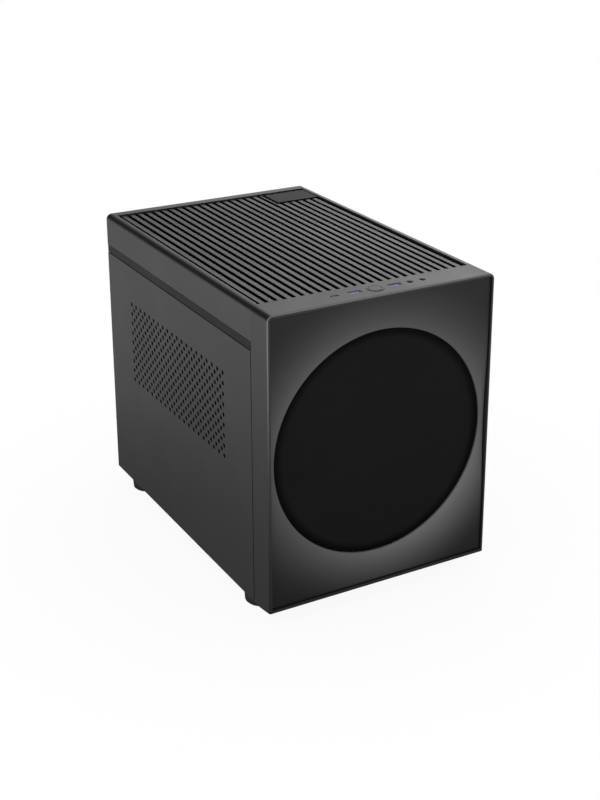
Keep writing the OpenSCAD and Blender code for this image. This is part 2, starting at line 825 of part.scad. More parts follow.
// Fan frame from y = a on: the struts and the rotor's pin are at its rear face.
module fan_frame(x, z, size, bore, pitch, a, hub) {
  b = a + fan_t;
  bevel = size * 0.035;
  difference() {
    span(x - size / 2, x + size / 2, a, b, z - size / 2, z + size / 2);
    rod_y(x, z, bore, a - cut, b + cut);
    fan_holes(x, z, pitch, a - cut, b + cut, fan_hole);
    for (sx = [-1, 1], sz = [-1, 1]) translate([x + sx * size / 2, 0, z + sz * size / 2]) rotate([0, 45, 0])
      span(-bevel, bevel, a - cut, b + cut, -bevel, bevel);
  }
  for (t = [20 : 90 : 290]) translate([x, 0, z]) rotate([0, t, 0])
    span(hub - 3, bore + 0.5, b - strut_t, b, -strut_w / 2, strut_w / 2);
  rod_y(x, z, hub - 2, b - strut_t, b);
  rod_y(x, z, pin_r, a + 8, b - strut_t);
}

// One blade along +X: a shell of a cylinder whose axis runs along the blade.
module blade(hub, tip) {
  rotate([blade_tilt, 0, 0]) intersection() {
    translate([hub - 1, -blade_deep / 2, -blade_chord / 2]) cube([tip - hub + 2, blade_deep, blade_chord]);
    translate([hub - 1, 2 - blade_arc, 0]) rotate([0, 90, 0]) difference() {
      cylinder(r = blade_arc + blade_t / 2, h = tip - hub + 2);
      translate([0, 0, -cut]) cylinder(r = blade_arc - blade_t / 2, h = tip - hub + 2 + 2 * cut);
    }
  }
}

// Rotor from y = a to y = b: hub cup and curved blades, cut to the bore.
module fan_rotor(x, z, hub, tip, n, a, b) {
  difference() {
    rod_y(x, z, hub, a, b);
    rod_y(x, z, pin_r + pin_gap, a + 4, b + cut);
  }
  intersection() {
    for (i = [0 : n - 1]) translate([x, (a + b) / 2, z]) rotate([0, i * 360 / n, 0]) blade(hub, tip);
    difference() {
      rod_y(x, z, tip, a + 1, b - 1);
      rod_y(x, z, hub - 0.5, a, b);
    }
  }
}

module front_fan_frame() {
  color("#1b1b1d") fan_frame(0, intake_z, fan_f, bore_f, fan_f_pitch, frame_y, hub_f);
}

module front_fan_rotor() {
  color("#232326") fan_rotor(0, intake_z, hub_f, bore_f - tip_gap, 9, frame_y + 3, frame_y + fan_t - 4);
}

module rear_fan_frame() {
  color("#1b1b1d") fan_frame(fan_r_x, fan_r_z, fan_r, bore_r, fan_r_pitch, rear_in - fan_t, hub_r);
}

module rear_fan_rotor() {
  color("#232326") fan_rotor(fan_r_x, fan_r_z, hub_r, bore_r - tip_gap, 7, rear_in - fan_t + 3, rear_in - 4);
}

// Blanking bracket: its plate lies behind the rear panel, its tab on the outer ledge.
module slot_cover(i) {
  back = rear_in - fold_gap;
  color("#55565a") translate([slot_x - i * slot_pitch, 0, 0]) difference() {
    union() {
      span(-bracket_w / 2, bracket_w / 2, back - bracket_t, back, slot_z0 - bracket_foot, tab_z + bracket_t);
      span(-bracket_w / 2, bracket_w / 2, back - bracket_t, rear_y + tab_l, tab_z, tab_z + bracket_t);
    }
    for (j = [1 : bracket_vents])
      translate([0, 0, slot_z0 + j * bracket_step]) span(-bracket_vent_w / 2, bracket_vent_w / 2,
        back - bracket_t - cut, back + cut, bracket_low, bracket_low + bracket_vent_h);
    translate([0, slot_screw_y, tab_z - cut]) cylinder(r = small_shank + 0.3, h = bracket_t + 2 * cut);
  }
}

module slot_cover_1() { slot_cover(0); }
module slot_cover_2() { slot_cover(1); }

// Crossed recess in a screw's head, around the Z axis from the height z up.
module cross_z(l, z) {
  for (a = [0, 90]) rotate(a) translate([-l, -cross_w / 2, z]) cube([2 * l, cross_w, cross_d + cut]);
}

module slot_screws() {
  color("#8c8d90") slots_at() translate([0, slot_screw_y, tab_z + bracket_t]) {
    difference() {
      cylinder(r = small_head, h = screw_head_h);
      cross_z(0.65 * small_head, screw_head_h - cross_d);
    }
    translate([0, 0, -5]) cylinder(r = small_shank, h = 5);
  }
}

module io_board() {
  color("#1d3a2a") difference() {
    span(board_x0, board_x1, row_y - board_hd, row_y + board_hd, board_z, port_z);
    for (x = [board_x0 + board_post + 1, board_x1 - board_post - 1])
      translate([x, row_y, board_z - cut]) cylinder(r = 1.2, h = board_t + 2 * cut);
  }
}

module usb_a(s) {
  inner = [usb_w - 2 * usb_wall, usb_d - 2 * usb_wall];
  color("#b9bbc0") translate([s * usb_a_x, row_y, port_z]) difference() {
    linear_extrude(height = port_h) square([usb_w, usb_d], center = true);
    translate([0, 0, port_floor]) linear_extrude(height = port_h) square(inner, center = true);
  }
}

module usb_a_left() { usb_a(-1); }
module usb_a_right() { usb_a(1); }

module usb_tongues() {
  side = usb_wall + 0.6;
  color("#5a62c8") for (s = [-1, 1])
    translate([s * usb_a_x - usb_w / 2 + side, row_y + usb_d / 2 - usb_wall - usb_tongue, port_z + port_floor])
      cube([usb_w - 2 * side, usb_tongue, port_h - port_floor - 1]);
}

module usb_c_port() {
  core = [usb_c_w - usb_c_d + 0.7, 0.7];
  wall = 2 * usb_c_wall;
  color("#b9bbc0") translate([-usb_c_x, row_y, port_z]) {
    difference() {
      linear_extrude(height = port_h) pill(usb_c_w, usb_c_d);
      translate([0, 0, port_floor]) linear_extrude(height = port_h) pill(usb_c_w - wall, usb_c_d - wall);
    }
    translate([0, 0, port_floor - 1]) linear_extrude(height = port_h - port_floor) square(core, center = true);
  }
}

module audio_jack(i) {
  color("#1a1a1c") translate([audio_x + i * audio_pitch, row_y, port_z]) difference() {
    union() {
      linear_extrude(height = strip_z - port_z - 0.4) square(audio_w, center = true);
      cylinder(r = audio_collar, h = port_h);
    }
    translate([0, 0, port_floor]) cylinder(d = audio_bore, h = port_h);
  }
}

module audio_jack_left() { audio_jack(0); }
module audio_jack_right() { audio_jack(1); }

module power_switch() {
  color("#202022") translate([0, row_y, port_z]) difference() {
    linear_extrude(height = switch_h) square(switch_w, center = true);
    translate([0, 0, well_z - port_z]) cylinder(r = stem_r + port_gap, h = switch_h);
  }
}

// Cap, the two tabs that keep it under the strip, and the stem that runs into the switch.
module power_button() {
  lip_z = strip_z - fold_gap - lip_h;
  color("#3c3d41") translate([0, row_y, 0]) {
    difference() {
      translate([0, 0, lip_z]) cylinder(r = button_r, h = zt + button_rise - lip_z);
      translate([0, 0, zt]) difference() {
        cylinder(r = button_r - 1.2, h = cut);
        cylinder(r = button_r - 1.9, h = 3 * cut, center = true);
      }
    }
    translate([0, 0, lip_z]) linear_extrude(height = lip_h) intersection() {
      circle(r = button_r + button_lip);
      square([3 * button_r, 2 * lip_hd], center = true);
    }
    translate([0, 0, stem_z]) cylinder(r = stem_r, h = strip_z - stem_z);
  }
}

module foot() {
  color("#141415") difference() {
    union() {
      translate([0, 0, foot_chamfer]) cylinder(r1 = foot_r - 1, r2 = foot_r, h = foot_h - foot_chamfer);
      cylinder(r1 = foot_r - 1 - foot_chamfer, r2 = foot_r - 1, h = foot_chamfer);
    }
    translate([0, 0, -cut]) cylinder(r = foot_well, h = foot_h - foot_floor + cut);
    translate([0, 0, -cut]) cylinder(r = foot_screw_r + fold_gap, h = foot_h + 2 * cut);
    translate([0, 0, -cut]) difference() {
      cylinder(r = foot_r - 4, h = cut + 0.6);
      cylinder(r = foot_r - 8, h = 4 * cut, center = true);
    }
  }
}

module foot_front_left() { translate([-hw + foot_in, foot_y[0], 0]) foot(); }
module foot_front_right() { translate([hw - foot_in, foot_y[0], 0]) foot(); }
module foot_rear_left() { translate([-hw + foot_in, foot_y[1], 0]) foot(); }
module foot_rear_right() { translate([hw - foot_in, foot_y[1], 0]) foot(); }

module foot_screws() {
  seat = foot_h - foot_floor;
  color("#8c8d90") feet_at() {
    difference() {
      translate([0, 0, seat - foot_head_h]) cylinder(r = foot_head, h = foot_head_h);
      cross_z(0.7 * foot_head, seat - foot_head_h - cut);
    }
    translate([0, 0, seat]) cylinder(r = foot_screw_r, h = foot_floor + sheet);
    translate([0, 0, foot_h + sheet]) cylinder(r = foot_nut, h = foot_head_h, $fn = 6);
  }
}

module thumbscrews() {
  end = y1 + thumb_len;
  color("#9a9ba0") for (sx = [-1, 1], z = thumb_z) difference() {
    union() {
      rod_y(sx * thumb_x, z, thumb_dia / 2, y1, end);
      rod_y(sx * thumb_x, z, thumb_shank, y1 - thumb_shank_l, y1 + 0.1);
    }
    for (a = [45, 135]) translate([sx * thumb_x, 0, z]) rotate([0, a, 0])
      span(-thumb_dia / 3, thumb_dia / 3, end - 1.4, end + cut, -cross_w / 2, cross_w / 2);
  }
}

// Pan head screw along +Y whose head lies before y = 0.
module fan_screw() {
  reach = 0.67 * screw_head;
  difference() {
    rod_y(0, 0, screw_head, -screw_head_h, 0);
    for (a = [0, 90]) rotate([0, a, 0])
      span(-reach, reach, -screw_head_h - cut, cross_d - screw_head_h, -cross_w / 2, cross_w / 2);
  }
  rod_y(0, 0, screw_r, 0, screw_l);
}

module front_fan_screws() {
  color("#2a2a2c") for (sx = [-1, 1], sz = [-1, 1])
    translate([sx * fan_f_pitch / 2, seam_y, intake_z + sz * fan_f_pitch / 2]) fan_screw();
}

module rear_fan_screws() {
  color("#2a2a2c") for (sx = [-1, 1], sz = [-1, 1])
    translate([fan_r_x + sx * fan_r_pitch / 2, rear_y, fan_r_z + sz * fan_r_pitch / 2]) rotate([0, 0, 180])
      fan_screw();
}

chassis_base();
front_frame();
rear_panel();
top_rail_left();
top_rail_right();
motherboard_tray();
board_standoffs();
drive_bracket();
left_side_panel();
right_side_panel();
side_filter_left();
side_filter_right();
top_cover();
top_dust_filter();
badge_plate();
front_bezel();
front_plate();
mesh_disc();
mesh_ring();
front_fan_frame();
front_fan_rotor();
rear_fan_frame();
rear_fan_rotor();
slot_cover_1();
slot_cover_2();
slot_screws();
io_board();
usb_a_left();
usb_a_right();
usb_tongues();
usb_c_port();
audio_jack_left();
audio_jack_right();
power_switch();
power_button();
foot_front_left();
foot_front_right();
foot_rear_left();
foot_rear_right();
foot_screws();
thumbscrews();
front_fan_screws();
rear_fan_screws();
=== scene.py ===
"""Finishes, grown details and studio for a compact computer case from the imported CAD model."""

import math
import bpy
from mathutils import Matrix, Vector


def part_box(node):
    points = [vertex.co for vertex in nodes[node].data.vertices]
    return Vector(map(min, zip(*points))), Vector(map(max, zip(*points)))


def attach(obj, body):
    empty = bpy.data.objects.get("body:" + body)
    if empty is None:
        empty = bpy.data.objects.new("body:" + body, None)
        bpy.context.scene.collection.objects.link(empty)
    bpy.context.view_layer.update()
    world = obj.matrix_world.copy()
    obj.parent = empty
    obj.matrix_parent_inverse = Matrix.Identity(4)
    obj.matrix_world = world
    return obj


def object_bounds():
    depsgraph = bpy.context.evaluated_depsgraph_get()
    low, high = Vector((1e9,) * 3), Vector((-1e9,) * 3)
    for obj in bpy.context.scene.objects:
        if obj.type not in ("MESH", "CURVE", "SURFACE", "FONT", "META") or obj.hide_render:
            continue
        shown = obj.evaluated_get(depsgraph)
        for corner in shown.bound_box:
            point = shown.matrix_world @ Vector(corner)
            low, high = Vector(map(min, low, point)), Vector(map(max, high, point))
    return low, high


bl_info = {
    "name": "Compact Computer Case",
    "version": (1, 0, 0),
    "blender": (4, 5, 0),
    "location": "3D View > Sidebar > Case",
    "description": "Coats, mesh, knurling and studio for a compact computer case",
    "category": "Object",
}

import bpy
from bpy.props import FloatProperty, FloatVectorProperty, IntProperty, PointerProperty
from mathutils import Matrix, Vector

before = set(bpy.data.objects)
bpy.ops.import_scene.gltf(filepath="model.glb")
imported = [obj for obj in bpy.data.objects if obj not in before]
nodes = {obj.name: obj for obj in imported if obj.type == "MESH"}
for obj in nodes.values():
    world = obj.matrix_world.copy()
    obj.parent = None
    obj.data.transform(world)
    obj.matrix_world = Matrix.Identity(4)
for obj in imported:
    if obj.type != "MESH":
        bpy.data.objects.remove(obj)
cad_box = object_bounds()

# Nodes of the CAD model that share a finish

PANELS = ("left_side_panel", "right_side_panel")
RAILS = ("top_rail_left", "top_rail_right")
CHASSIS = (
    "chassis_base", "front_frame", "rear_panel", "motherboard_tray", "drive_bracket",
    "slot_cover_1", "slot_cover_2",
)
FILTERS = ("top_dust_filter", "side_filter_left", "side_filter_right")
INNER_MOULDINGS = (
    "front_fan_frame", "front_fan_rotor", "rear_fan_frame", "rear_fan_rotor", "mesh_ring",
)
TYPE_A_SOCKETS = ("usb_a_left", "usb_a_right")
STRIP_MOULDINGS = ("audio_jack_left", "audio_jack_right", "power_switch")
ZINC_SCREWS = ("thumbscrews", "foot_screws", "slot_screws")
BLACK_SCREWS = ("front_fan_screws", "rear_fan_screws")
FEET = ("foot_front_left", "foot_front_right", "foot_rear_left", "foot_rear_right")

# Fixed colours

DRAWN_STEEL = (0.62, 0.63, 0.65)
ZINC = (0.55, 0.56, 0.58)
BRASS = (0.75, 0.55, 0.25)
GOLD = (0.85, 0.62, 0.28)
TONGUE_BLUE = (0.30, 0.34, 0.78)
BOARD_GREEN = (0.015, 0.07, 0.035)
SCREW_BLACK = (0.03, 0.03, 0.032)
RUBBER_BLACK = (0.016, 0.016, 0.017)
# painted shade at the rim of the recessed intake mesh
RIM_SHADE_BLACK = (0.0006, 0.0006, 0.0006)
# painted shade for the walls of the cover's slots
PAINTED_SLOT_SHADE = (0.0008, 0.0008, 0.0008)
PAPER_WHITE = (0.86, 0.86, 0.86)

# Places and lengths in metres

# box in which shade is painted on the walls of the cover's slots, set from the cover's bounds
SLOT_SHADE_INSET_LOW = Vector((0.005, -0.1, -0.01))
SLOT_SHADE_INSET_HIGH = Vector((0.005, 0.002, 0.0018))
# painted highlight: heights over which the pale line on the front's fillet fades to painted shade
# at the foot
HIGHLIGHT_FADE = (0.15, 0.30)  # heights between which the front's fillet turns from dark to pale
RIM_SHADE_WIDTH = 0.007
MESH_MARGIN = 0.0018  # between the outer wires and the edge of the mesh disc
CONTACT_PITCH = 0.0024
CONTACT_SIZE = Vector((0.001, 0.0003, 0.006))
CONTACT_DEPTH = 0.0035  # from the top of the tongues to the middle of the contacts
CONTACT_LIFT = 0.00005
RIDGE_LENGTH = 0.0036
RIDGE_MIDDLE = 0.0025  # from a head's rear face to the middle of its ridges
FLOOR_REACH = 6.0
FOOTPRINT_INSET = Vector((0.032, 0.052, 0.0))
FOOTPRINT_FADE = 0.01

# Surfaces

# the node so labelled lays paler edges on a coat, partly worn and partly a painted highlight
SCUFF_AND_GLINT = "Edge scuffs and glints"  # label of the node that lays the paler edges on a coat
BEVEL_SAMPLES = 6
FACE_COSINE = 0.97  # between the rounded normal and the true one, on a face
EDGE_COSINE = 0.75  # and on an edge
GRAIN_HEIGHT = 0.00012
DRIFT_SCALE = 14.0
BRUSH_SCALE = 60.0
BRUSH_HEIGHT = 0.00005
THREAD_SCALE = 450.0
THREAD_HEIGHT = 0.0002
# lean of the painted sheen around the intake
SHEEN_LEAN = 0.3

# Light

LAMPS = (  # name, which is also its power's setting, then place, target, width and height
    ("key", (0.3, 0.3, 1.6), (0, 0, 0.2), 1.2, 1.2),
    ("low", (0.75, -1.3, 0.12), (0.05, -0.19, 0.1), 0.6, 0.4),
    ("side", (-1.2, -0.2, 0.9), (-0.1, 0, 0.25), 0.6, 0.6),
)
ROOM_BASE = 0.12
ROOM_LOBES = (  # direction, narrowness, share of the sheen
    ((0.68, 0.68, 0.28), 18.0, 1.0),
    ((0.46, -0.31, 0.80), 12.0, 0.6),
)
# Each of the floor's ramps: distance at its start and end, value at its start and end
WHITE_RAMP = (0.15, 0.5, 0.93, 1.0)
# painted shadow: the floor as reflections see it is dim near the case
REFLECTED_SHADE_RAMP = (0.2, 0.65, 0.28, 0.66)
# painted glow on the floor at the front left, seen only in reflections, in place of a lamp
GLOW_PATCH_RAMP = (0.35, 0.65, 0.0, 2.5)
GLOW_PATCH_SIDE = (-0.87, -0.48, 0.0)


# Properties


class CoatSettings(bpy.types.PropertyGroup):
    """Colours and surface of the coated and moulded parts."""

    steel_tone: FloatVectorProperty(
        name="Steel coat", description="Colour of the powder coat on the panels",
        subtype="COLOR", size=3, min=0, max=1, default=(0.0185, 0.019, 0.020),
    )
    cover_tone: FloatVectorProperty(
        name="Top cover", description="Colour of the slatted cover",
        subtype="COLOR", size=3, min=0, max=1, default=(0.022, 0.0225, 0.0235),
    )
    bezel_tone: FloatVectorProperty(
        name="Bezel", description="Colour of the moulded bezel",
        subtype="COLOR", size=3, min=0, max=1, default=(0.018, 0.0182, 0.0188),
    )
    plate_tone: FloatVectorProperty(
        name="Front plate", description="Colour of the plate around the intake",
        subtype="COLOR", size=3, min=0, max=1, default=(0.016, 0.016, 0.0165),
    )
    # painted sheen: a pale ring on the plate around the intake in place of reflected light
    painted_sheen_tone: FloatVectorProperty(
        name="Intake sheen", description="Colour of the plate's painted sheen around the intake",
        subtype="COLOR", size=3, min=0, max=1, default=(0.177, 0.177, 0.183),
    )
    painted_sheen_width: FloatProperty(
        name="Band width", description="Width over which the band around the intake fades out",
        unit="LENGTH", min=0.005, max=0.2, default=0.06,
    )
    inner_tone: FloatVectorProperty(
        name="Inner parts", description="Colour of fans, sockets and other inner mouldings",
        subtype="COLOR", size=3, min=0, max=1, default=(0.008, 0.008, 0.0085),
    )
    edge_radius: FloatProperty(
        name="Edge softness", description="Radius that a moulded or coated edge seems to have",
        unit="LENGTH", min=0.0, max=0.002, default=0.00045,
    )
    grain_size: FloatProperty(
        name="Grain", description="Size of one grain of the powder coat",
        unit="LENGTH", min=0.0001, max=0.003, default=0.0007,
    )


class MeshSettings(bpy.types.PropertyGroup):
    """Woven mesh of the round intake."""

    intake_pitch: FloatProperty(
        name="Intake pitch", description="Distance between the wires of the intake mesh",
        unit="LENGTH", min=0.0005, max=0.01, default=0.0014,
    )
    wire_share: FloatProperty(
        name="Wire share", description="Wire width as a share of the pitch",
        subtype="FACTOR", min=0.1, max=0.9, default=0.42,
    )
    rim_shade: FloatProperty(
        name="Rim shade", description="Radius past which the recessed intake mesh darkens",
        unit="LENGTH", min=0.02, max=0.2, default=0.106,
    )
    mesh_tone: FloatVectorProperty(
        name="Mesh", description="Colour of the mesh wires",
        subtype="COLOR", size=3, min=0, max=1, default=(0.0145, 0.0145, 0.0158),
    )


class KnurlSettings(bpy.types.PropertyGroup):
    """Knurled heads of the thumbscrews and contacts in the sockets."""

    ridges: IntProperty(
        name="Ridges", description="Ridges around one head", min=8, max=60, default=30,
    )
    ridge_depth: FloatProperty(
        name="Ridge depth", description="Height of a ridge",
        unit="LENGTH", min=0.0, max=0.001, default=0.00035,
    )
    contacts: IntProperty(
        name="Contacts", description="Contacts in one socket", min=2, max=9, default=4,
    )


class StudioSettings(bpy.types.PropertyGroup):
    """Camera and lamps."""

    camera_place: FloatVectorProperty(
        name="Camera", description="Where the camera stands", unit="LENGTH", size=3,
        default=(-0.67723, -1.24538, 0.75728),
    )
    camera_back: FloatVectorProperty(
        name="View axis", description="Direction from the object to the camera", size=3,
        default=(-0.458818, -0.823222, 0.334353),
    )
    camera_right: FloatVectorProperty(
        name="Picture right", description="Direction of the picture's right side", size=3,
        default=(0.873071, -0.487587, -0.002431),
    )
    lens: FloatProperty(
        name="Lens", description="Focal length on a 36 mm picture height",
        min=10, max=300, default=64.262,
    )
    shift: FloatProperty(
        name="Shift", description="Vertical shift of the picture",
        min=-0.5, max=0.5, default=-0.125,
    )
    fill: FloatProperty(
        name="Room light", description="Strength of the pale room",
        min=0, max=2, default=0.55,
    )
    sheen: FloatProperty(
        name="Sheen", description="Strength of the bright side of the room in reflections",
        min=0, max=10, default=3.25,
    )
    key: FloatProperty(
        name="Key", description="Power of the large lamp above",
        subtype="POWER", min=0, max=200, default=7,
    )
    low: FloatProperty(
        name="Low", description="Power of the low lamp at the front right",
        subtype="POWER", min=0, max=200, default=3,
    )
    side: FloatProperty(
        name="Side", description="Power of the lamp at the left",
        subtype="POWER", min=0, max=200, default=4,
    )


# Helpers for node trees


def new_group(name, inputs, outputs, kind="ShaderNodeTree"):
    """A node group, the sockets of its inputs, and its output node."""
    group = bpy.data.node_groups.new(name, kind)
    for in_out, sockets in (("INPUT", inputs), ("OUTPUT", outputs)):
        for label, socket_type, value in sockets:
            socket = group.interface.new_socket(
                label, in_out=in_out, socket_type="NodeSocket" + socket_type
            )
            if value is not None:
                socket.default_value = value
    given = group.nodes.new("NodeGroupInput").outputs
    return group, given, group.nodes.new("NodeGroupOutput")


def node(tree, kind, inputs=None, **settings):
    """A node, whose inputs are given as values or as sockets to link from."""
    made = tree.nodes.new(kind)
    for key, value in settings.items():
        setattr(made, key, value)
    for label, value in (inputs or {}).items():
        if isinstance(value, bpy.types.NodeSocket):
            tree.links.new(value, made.inputs[label])
        else:
            made.inputs[label].default_value = value
    return made


def maths(tree, operation, *values, clamp=False):
    """The result of an operation on numbers."""
    made = node(tree, "ShaderNodeMath", dict(enumerate(values)), operation=operation)
    made.use_clamp = clamp
    return made.outputs[0]


def vectors(tree, operation, *values):
    """The result of an operation on vectors, which is a number for two of them."""
    made = node(tree, "ShaderNodeVectorMath", dict(enumerate(values)), operation=operation)
    return made.outputs["Value" if operation in {"DOT_PRODUCT", "LENGTH"} else "Vector"]


def ramp(tree, value, start, end, low=0.0, high=1.0, smooth=False):
    """Runs from low to high while the value runs from start to end."""
    shape = "SMOOTHSTEP" if smooth else "LINEAR"
    bounds = {"From Min": start, "From Max": end, "To Min": low, "To Max": high}
    made = node(tree, "ShaderNodeMapRange", {"Value": value, **bounds}, interpolation_type=shape)
    return made.outputs["Result"]


def blend(tree, share, first, second, label=""):
    """A colour between two colours."""
    made = node(
        tree, "ShaderNodeMix", {0: share, 6: first, 7: second}, data_type="RGBA", label=label
    )
    return made.outputs[2]


def choose(tree, share, first, second):
    """A number between two numbers."""
    made = node(tree, "ShaderNodeMix", {0: share, 2: first, 3: second}, data_type="FLOAT")
    return made.outputs[0]


def noise(tree, place, scale, detail, roughness=0.5):
    made = node(tree, "ShaderNodeTexNoise", {
        "Vector": place, "Scale": scale, "Detail": detail, "Roughness": roughness,
    })
    return made.outputs["Fac"]


def object_place(tree):
    """Where a point lies in its object."""
    return node(tree, "ShaderNodeTexCoord").outputs["Object"]


def parts_of(tree, vector):
    return node(tree, "ShaderNodeSeparateXYZ", {0: vector}).outputs


def sight_rays(tree):
    """1 for rays that the camera sees directly or through a clear part, and the light path."""
    rays = node(tree, "ShaderNodeLightPath").outputs
    return maths(tree, "MAXIMUM", rays["Is Camera Ray"], rays["Is Transmission Ray"]), rays


def grouped(tree, name, maker, inputs):
    """The outputs of a node group that is made on first use."""
    shared = bpy.data.node_groups.get(name) or maker()
    return node(tree, "ShaderNodeGroup", inputs, node_tree=shared).outputs


# Surfaces


def soft_edges_group():
    """Normal with rounded edges, and a mask that is 1 on an edge and 0 on a flat face."""
    group, given, result = new_group(
        "Soft Edges",
        [("Radius", "Float", 0.0005)],
        [("Normal", "Vector", None), ("Edge", "Float", None)],
    )
    radius = {"Radius": given["Radius"]}
    bevel = node(group, "ShaderNodeBevel", radius, samples=BEVEL_SAMPLES).outputs["Normal"]
    flat = node(group, "ShaderNodeNewGeometry").outputs["Normal"]
    alike = vectors(group, "DOT_PRODUCT", bevel, flat)
    group.links.new(bevel, result.inputs["Normal"])
    group.links.new(ramp(group, alike, FACE_COSINE, EDGE_COSINE), result.inputs["Edge"])
    return group


def coat_grain_group():
    """Fine grain of a powder coat or a moulded skin, with slow drift in tone and gloss."""
    group, given, result = new_group(
        "Coat Grain",
        [
            ("Normal", "Vector", None), ("Grain", "Float", 0.0007), ("Relief", "Float", 0.3),
            ("Roughness", "Float", 0.45), ("Drift", "Float", 0.1),
        ],
        [("Normal", "Vector", None), ("Roughness", "Float", None), ("Tone", "Float", None)],
    )
    place = object_place(group)
    fine = noise(group, place, maths(group, "DIVIDE", 1.0, given["Grain"]), 3.0, 0.6)
    slow = noise(group, place, DRIFT_SCALE, 4.0)
    bump = node(group, "ShaderNodeBump", {
        "Strength": given["Relief"], "Distance": GRAIN_HEIGHT, "Height": fine,
        "Normal": given["Normal"],
    })
    drift = maths(group, "MULTIPLY", ramp(group, slow, 0.3, 0.7, -1.0, 1.0), given["Drift"])
    speck = maths(group, "MULTIPLY_ADD", fine, 0.10, given["Roughness"])
    rough = maths(group, "ADD", speck, drift, clamp=True)
    tone = maths(group, "MULTIPLY_ADD", drift, 0.5, 0.5)
    group.links.new(bump.outputs["Normal"], result.inputs["Normal"])
    group.links.new(rough, result.inputs["Roughness"])
    group.links.new(tone, result.inputs["Tone"])
    return group


def ring_group():
    """1 inside a radius around a centre in the XZ plane, falling to 0 over a width.

    With some lean it is strongest at the lower right, less so at the upper left, and weakest
    between them: a cosine around the circle and two thirds of its double are added, and their
    peak is brought back to 1.
    """
    group, given, result = new_group(
        "Ring Fade",
        [
            ("Centre", "Vector", None), ("Radius", "Float", 0.1), ("Width", "Float", 0.05),
            ("Power", "Float", 1.0), ("Lean", "Float", 0.0),
        ],
        [("Fade", "Float", None)],
    )
    centred = vectors(group, "SUBTRACT", object_place(group), given["Centre"])
    flat = vectors(group, "MULTIPLY", centred, (1, 0, 1))
    past = maths(group, "SUBTRACT", vectors(group, "LENGTH", flat), given["Radius"])
    share = maths(group, "DIVIDE", past, given["Width"], clamp=True)
    fade = maths(group, "POWER", maths(group, "SUBTRACT", 1.0, share), given["Power"])

    lower_right = (math.sqrt(0.5), 0, -math.sqrt(0.5))
    along = vectors(group, "DOT_PRODUCT", vectors(group, "NORMALIZE", flat), lower_right)
    square = maths(group, "POWER", along, 2.0)
    double = maths(group, "MULTIPLY_ADD", square, 4 / 3, -2 / 3)
    swing = maths(group, "ADD", along, double)
    level = maths(group, "MULTIPLY_ADD", swing, given["Lean"], 1.0)
    peak = maths(group, "MULTIPLY_ADD", given["Lean"], 5 / 3, 1.0)
    leaning = maths(group, "MULTIPLY", fade, maths(group, "DIVIDE", level, peak))
    group.links.new(leaning, result.inputs["Fade"])
    return group


def opaque(tone, factor=1.0, lift=0.0):
    return [min(1.0, channel * factor + lift) for channel in tone] + [1.0]


def scaled(tone, factor):
    return [channel * factor for channel in tone]


def own_material(name):
    """The scene's material of that name, and its tree if it is still to be built."""
    full = "case_" + name
    found = bpy.data.materials.get(full)
    if found:
        return found, None
    material = bpy.data.materials.new(full)
    material.use_nodes = True
    return material, material.node_tree


def set_surface(tree, colour, roughness, normal, metal=0.0, gloss=0.5):
    shader = tree.nodes["Principled BSDF"].inputs
    for label, socket in (("Base Color", colour), ("Roughness", roughness), ("Normal", normal)):
        tree.links.new(socket, shader[label])
    shader["Metallic"].default_value = metal
    shader["Specular IOR Level"].default_value = gloss


def coated(name, tone, rough=0.42, grain=0.0007, relief=0.3, drift=0.06, edge=0.0004,
           scuff_and_glint=0.35, metal=0.0, gloss=0.5):
    """A coated or moulded finish: grain, soft edges, and paler edges that are partly worn and
    partly a painted highlight.
    """
    material, tree = own_material(name)
    if not tree:
        return material
    edges = grouped(tree, "Soft Edges", soft_edges_group, {"Radius": edge})
    skin = grouped(tree, "Coat Grain", coat_grain_group, {
        "Normal": edges["Normal"], "Grain": grain, "Relief": relief, "Roughness": rough,
        "Drift": drift,
    })
    drifted = blend(tree, skin["Tone"], opaque(tone, 0.8), opaque(tone, 1.2))
    # paler edges: partly worn, partly a painted highlight
    scuffed_and_lit = maths(tree, "MULTIPLY", edges["Edge"], scuff_and_glint)
    colour = blend(tree, scuffed_and_lit, drifted, opaque(tone, 2.2, 0.05), SCUFF_AND_GLINT)
    set_surface(tree, colour, skin["Roughness"], skin["Normal"], metal, gloss)
    return material


def brushed(name, tone, rough=0.3, along=(1, 1, 30)):
    """Drawn or turned metal with fine lines along one direction."""
    material, tree = own_material(name)
    if not tree:
        return material
    edges = grouped(tree, "Soft Edges", soft_edges_group, {"Radius": 0.00025})
    stretch = node(tree, "ShaderNodeMapping", {
        "Vector": object_place(tree), "Scale": scaled(along, BRUSH_SCALE),
    })
    lines = noise(tree, stretch.outputs["Vector"], 12.0, 3.0)
    roughness = ramp(tree, lines, 0.0, 1.0, rough * 0.75, rough * 1.35)
    bump = node(tree, "ShaderNodeBump", {
        "Strength": 0.25, "Distance": BRUSH_HEIGHT, "Height": lines, "Normal": edges["Normal"],
    })
    colour = blend(tree, lines, opaque(tone, 0.82), opaque(tone))
    set_surface(tree, colour, roughness, bump.outputs["Normal"], metal=1.0)
    return material


